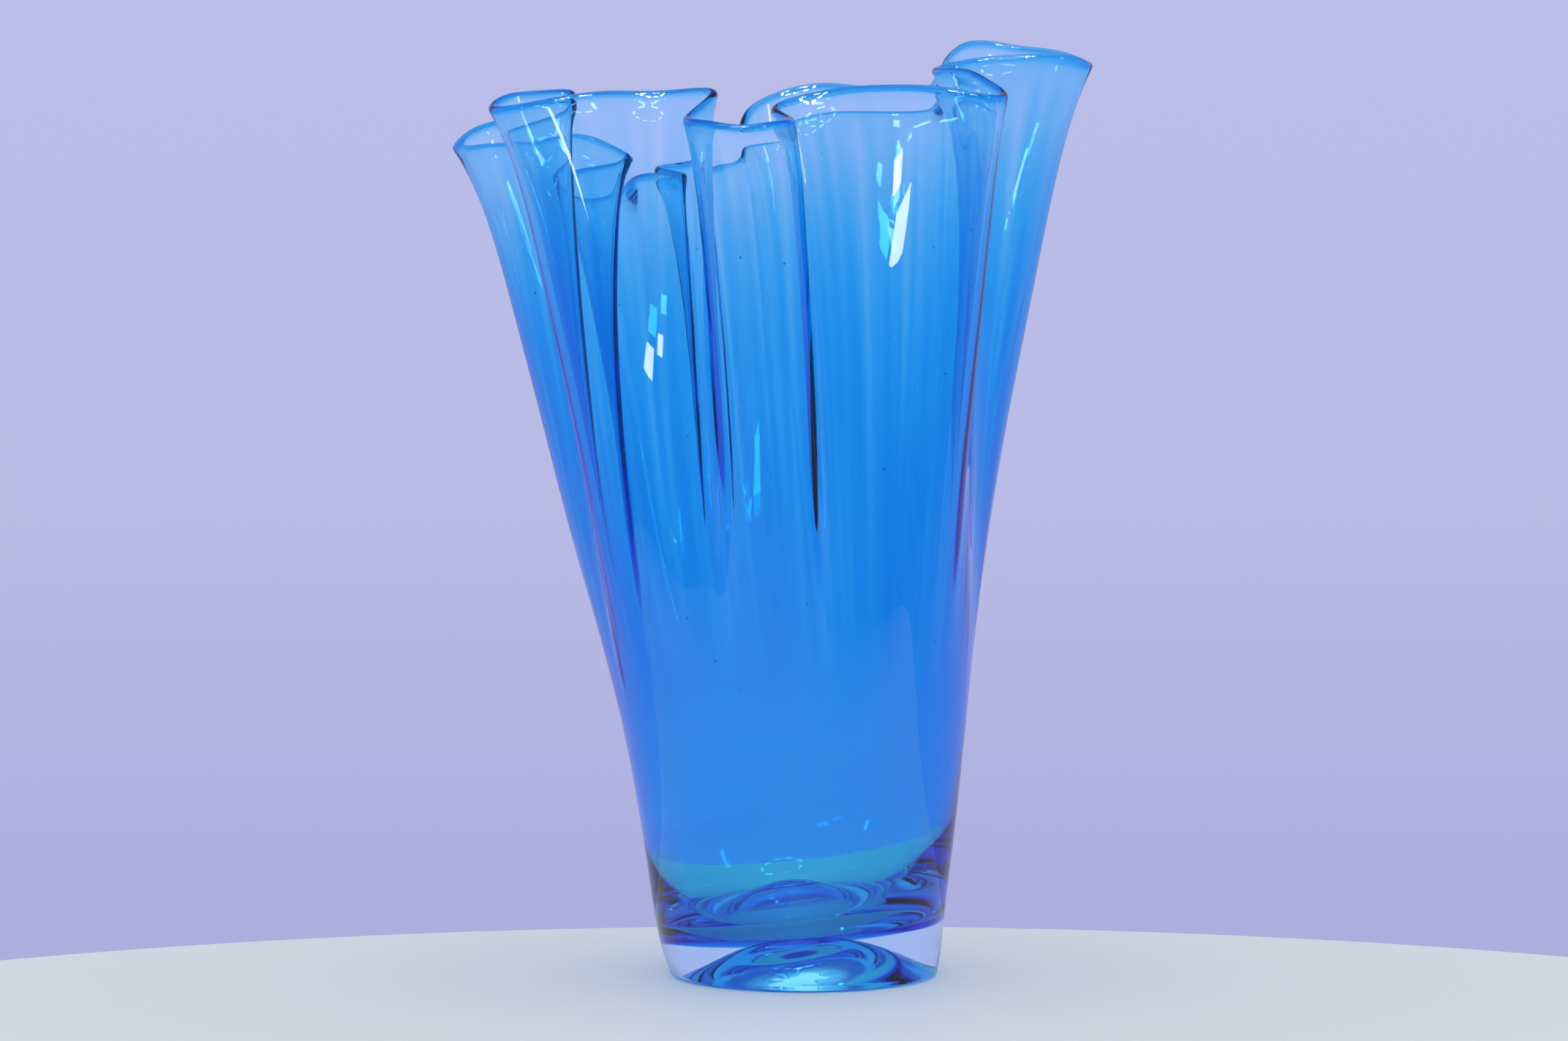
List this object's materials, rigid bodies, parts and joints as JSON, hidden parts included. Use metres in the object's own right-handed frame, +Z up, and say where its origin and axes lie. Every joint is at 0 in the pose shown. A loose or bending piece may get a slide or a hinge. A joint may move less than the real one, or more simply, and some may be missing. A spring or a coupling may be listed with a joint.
{
  "type": "blown glass vase",
  "caption": "Tall blown glass vase with a thick clear foot hollowed underneath, a leaning blue body and a wide mouth of deep uneven flutes; stands on a table and holds water and cut flowers.",
  "frame": {"origin": "on the table, under the middle of the box that just holds the vase", "axes": "+Z up, out of the mouth; -Y towards the side with the narrow front flute; +X to the right seen from that side, towards the tallest flute"},
  "size_m": [0.2062, 0.186, 0.2995],
  "materials": {
    "blue_glass": "fire-polished gloss, clear in the foot and blue above it"
  },
  "bodies": {
    "root": {"vase": "blue_glass"}
  },
  "joints": []
}
